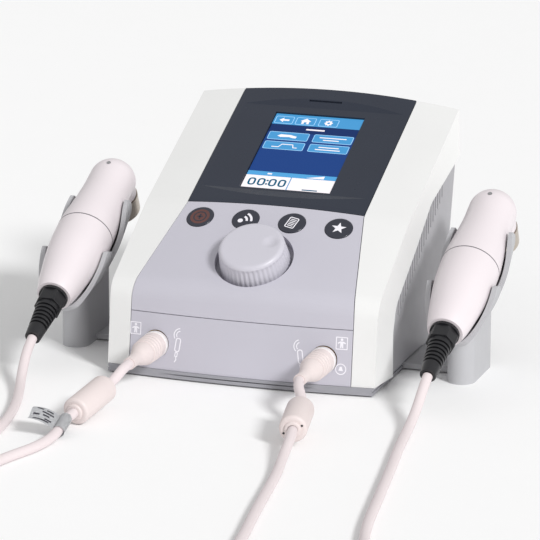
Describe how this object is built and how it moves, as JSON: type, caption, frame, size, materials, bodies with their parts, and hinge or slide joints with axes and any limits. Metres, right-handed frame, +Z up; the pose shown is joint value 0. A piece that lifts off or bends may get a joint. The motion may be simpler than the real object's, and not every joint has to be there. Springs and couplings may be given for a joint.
{
  "type": "ultrasound therapy device",
  "caption": "Wedge-shaped desktop ultrasound therapy console with a touch screen, four keys, a dial and two side holders, each carrying a corded treatment handpiece.",
  "frame": {"origin": "middle of the object's footprint without its leads, on the surface it stands on", "axes": "+X to the user's right, +Y away from the user, +Z up"},
  "size_m": [0.3394, 0.5152, 0.1308],
  "materials": {
    "cover_white": "fine satin moulded ABS",
    "panel_lavender": "satin moulded ABS",
    "bezel_slate": "satin moulded plastic",
    "case_grey": "fine textured plastic",
    "base_grey": "fine textured plastic",
    "key_navy": "satin key caps",
    "dial_lavender": "satin moulded plastic",
    "screen": "lit display behind glass",
    "touch_glass": "clear glass",
    "lead_cream": "smooth flexible sheath",
    "plug_cream": "satin overmould",
    "hand_white": "satin gloss moulding",
    "gland_black": "satin black plastic",
    "sound_metal": "fine turned aluminium",
    "ceramic": "fired ceramic",
    "holder_grey": "satin moulded plastic",
    "foot_rubber": "soft rubber",
    "board_green": "circuit board",
    "steel": "plated steel",
    "sink_alu": "extruded aluminium",
    "black_plastic": "black plastic",
    "brass_part": "nickelled brass",
    "paper": "coated paper"
  },
  "bodies": {
    "console": {"base_tray": "base_grey", "bezel": "bezel_slate", "coil_left": "lead_cream", "coil_right": "lead_cream", "cord_hand_left": "lead_cream", "cord_hand_right": "lead_cream", "cord_lead_left": "lead_cream", "cord_lead_right": "lead_cream", "cord_plug_left": "lead_cream", "cord_plug_right": "lead_cream", "cover_screws": "steel", "earth_stud": "brass_part", "encoder": "black_plastic", "feet": "foot_rubber", "ferrite_left": "plug_cream", "ferrite_right": "plug_cream", "heat_sink": "sink_alu", "holder_left": "holder_grey", "holder_right": "holder_grey", "holder_soles": "foot_rubber", "key_board": "board_green", "key_panel": "panel_lavender", "label_flag": "paper", "lcd_module": "screen", "lower_case": "case_grey", "main_board": "board_green", "mains_inlet": "black_plastic", "output_boards": "board_green", "plug_left": "plug_cream", "plug_right": "plug_cream", "power_supply": "board_green", "socket_left": "brass_part", "socket_panel": "panel_lavender", "socket_right": "brass_part", "speaker": "black_plastic", "switch_frame": "black_plastic", "top_cover": "cover_white", "touch_glass": "touch_glass", "type_plate": "sink_alu"},
    "stop_key": {"button_stop": "key_navy"},
    "output_key": {"button_output": "key_navy"},
    "list_key": {"button_list": "key_navy"},
    "star_key": {"button_star": "key_navy"},
    "output_dial": {"dial": "dial_lavender", "encoder_shaft": "steel"},
    "power_rocker": {"switch_rocker": "black_plastic"},
    "handpiece_left": {"grip_left": "hand_white", "head_left": "hand_white", "sound_head_left": "sound_metal", "crystal_left": "ceramic", "gland_nut_left": "gland_black", "bend_relief_left": "gland_black", "head_screw_left": "steel"},
    "handpiece_right": {"grip_right": "hand_white", "head_right": "hand_white", "sound_head_right": "sound_metal", "crystal_right": "ceramic", "gland_nut_right": "gland_black", "bend_relief_right": "gland_black", "head_screw_right": "steel"}
  },
  "joints": [
    {"name": "stop_press", "type": "slide", "parent": "console", "child": "stop_key", "axis": [0.0622, 0.507, -0.8597], "range_m": [0, 0.0008], "stiffness_N_per_m": 300, "springref_m": -0.002},
    {"name": "output_press", "type": "slide", "parent": "console", "child": "output_key", "axis": [0.0208, 0.5079, -0.8612], "range_m": [0, 0.0008], "stiffness_N_per_m": 300, "springref_m": -0.002},
    {"name": "list_press", "type": "slide", "parent": "console", "child": "list_key", "axis": [-0.0208, 0.5079, -0.8612], "range_m": [0, 0.0008], "stiffness_N_per_m": 300, "springref_m": -0.002},
    {"name": "star_press", "type": "slide", "parent": "console", "child": "star_key", "axis": [-0.0622, 0.507, -0.8597], "range_m": [0, 0.0008], "stiffness_N_per_m": 300, "springref_m": -0.002},
    {"name": "dial_turn", "type": "hinge", "parent": "console", "child": "output_dial", "pos_m": [0, -0.04491, 0.06511], "axis": [0, -0.508, 0.8614], "continuous": true},
    {"name": "power_rock", "type": "hinge", "parent": "console", "child": "power_rocker", "pos_m": [-0.016, 0.06546, 0.0346], "axis": [1, 0, 0], "range_deg": [0, 14.5]},
    {"name": "lift_left", "type": "slide", "parent": "console", "child": "handpiece_left", "axis": [0, -0.4305, 0.9026], "range_m": [0, 0.06]},
    {"name": "lift_right", "type": "slide", "parent": "console", "child": "handpiece_right", "axis": [0, -0.4305, 0.9026], "range_m": [0, 0.06]}
  ]
}
